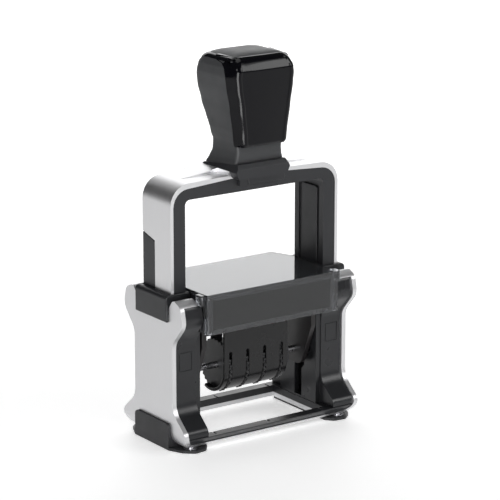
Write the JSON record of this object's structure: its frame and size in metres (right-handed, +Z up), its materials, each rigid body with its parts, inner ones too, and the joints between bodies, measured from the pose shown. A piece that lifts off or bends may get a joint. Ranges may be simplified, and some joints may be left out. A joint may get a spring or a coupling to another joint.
{
  "type": "rotary date stamp",
  "caption": "Heavy-duty self-inking date stamp: a sprung yoke with a grip flips a dated platen from the ink pad down through a window in its metal base.",
  "frame": {"origin": "centre of the footprint, on the surface that the stamp stands on", "axes": "+Z up along the stroke, +X along the long side of the base (the platen's axle), -Y towards the front with the index window"},
  "size_m": [0.0788, 0.0402, 0.1398],
  "materials": {
    "shell_metal": "satin brushed, laminated",
    "yoke_metal": "satin brushed",
    "base_black": "fine moulded texture",
    "frame_black": "fine moulded texture",
    "foot_black": "soft matte",
    "yoke_black": "semi-matte",
    "grip_soft": "soft-touch matte",
    "cap_soft": "semi-matte",
    "panel_gloss": "high gloss",
    "platen_grey": "satin",
    "comb_black": "satin gloss",
    "text_rubber": "matte",
    "band_rubber": "matte",
    "wheel_plastic": "knurled",
    "tray_plastic": "semi-matte",
    "pad_felt": "inked felt",
    "smoke_clear": "clear smoky plastic, glossy",
    "card": "flat card",
    "steel": "plated",
    "spring_steel": "drawn wire"
  },
  "bodies": {
    "base": {"metal_shell": "shell_metal", "window_frame": "base_black", "side_frame_left": "frame_black", "side_frame_right": "frame_black", "collar_left": "base_black", "collar_right": "base_black", "foot_left": "foot_black", "foot_right": "foot_black", "cartridge_carrier": "base_black", "base_screws": "steel", "spring_left": "spring_steel", "spring_right": "spring_steel"},
    "yoke": {"yoke_skin": "yoke_metal", "yoke_core": "yoke_black", "leg_slider_left": "frame_black", "leg_slider_right": "frame_black", "leg_strip_left": "yoke_black", "leg_strip_right": "yoke_black", "inner_panel_left": "yoke_black", "inner_panel_right": "yoke_black", "handle_saddle": "yoke_black", "saddle_insert": "yoke_black", "handle_grip": "grip_soft", "handle_panel": "panel_gloss", "handle_cap": "cap_soft", "handle_screw": "steel"},
    "platen": {"platen_side_left": "platen_grey", "platen_side_right": "platen_grey", "die_plate": "comb_black", "text_plate": "text_rubber", "comb_cover": "comb_black", "wheel_axle": "steel", "nose_bar": "steel", "date_band_1": "band_rubber", "date_band_2": "band_rubber", "date_band_3": "band_rubber", "date_band_4": "band_rubber"},
    "date_wheel_1": {"date_wheel_1": "wheel_plastic"},
    "date_wheel_2": {"date_wheel_2": "wheel_plastic"},
    "date_wheel_3": {"date_wheel_3": "wheel_plastic"},
    "date_wheel_4": {"date_wheel_4": "wheel_plastic"},
    "cartridge": {"ink_tray": "tray_plastic", "ink_pad": "pad_felt"},
    "cover": {"index_cover": "smoke_clear", "index_card": "card"}
  },
  "joints": [
    {"name": "press_slide", "type": "slide", "parent": "base", "child": "yoke", "axis": [0, 0, -1], "range_m": [0, 0.0315], "stiffness_N_per_m": 400, "springref_m": -0.012, "deforming": ["spring_left", "spring_right"]},
    {"name": "platen_flip", "type": "hinge", "parent": "yoke", "child": "platen", "pos_m": [0, 0, 0.0397], "axis": [-1, 0, 0], "range_deg": [0, 180]},
    {"name": "cartridge_slide", "type": "slide", "parent": "base", "child": "cartridge", "axis": [0, 1, 0], "range_m": [0, 0.036]},
    {"name": "cover_slide", "type": "slide", "parent": "base", "child": "cover", "axis": [0, -1, 0], "range_m": [0, 0.038]},
    {"name": "date_turn_1", "type": "hinge", "parent": "platen", "child": "date_wheel_1", "pos_m": [0, 0, 0.0242], "axis": [1, 0, 0], "continuous": true},
    {"name": "date_turn_2", "type": "hinge", "parent": "platen", "child": "date_wheel_2", "pos_m": [0, 0, 0.0242], "axis": [1, 0, 0], "continuous": true},
    {"name": "date_turn_3", "type": "hinge", "parent": "platen", "child": "date_wheel_3", "pos_m": [0, 0, 0.0242], "axis": [1, 0, 0], "continuous": true},
    {"name": "date_turn_4", "type": "hinge", "parent": "platen", "child": "date_wheel_4", "pos_m": [0, 0, 0.0242], "axis": [1, 0, 0], "continuous": true}
  ],
  "couplings": [
    {"joint": "platen_flip", "follows": "press_slide", "rad_per_m": 99.732}
  ]
}
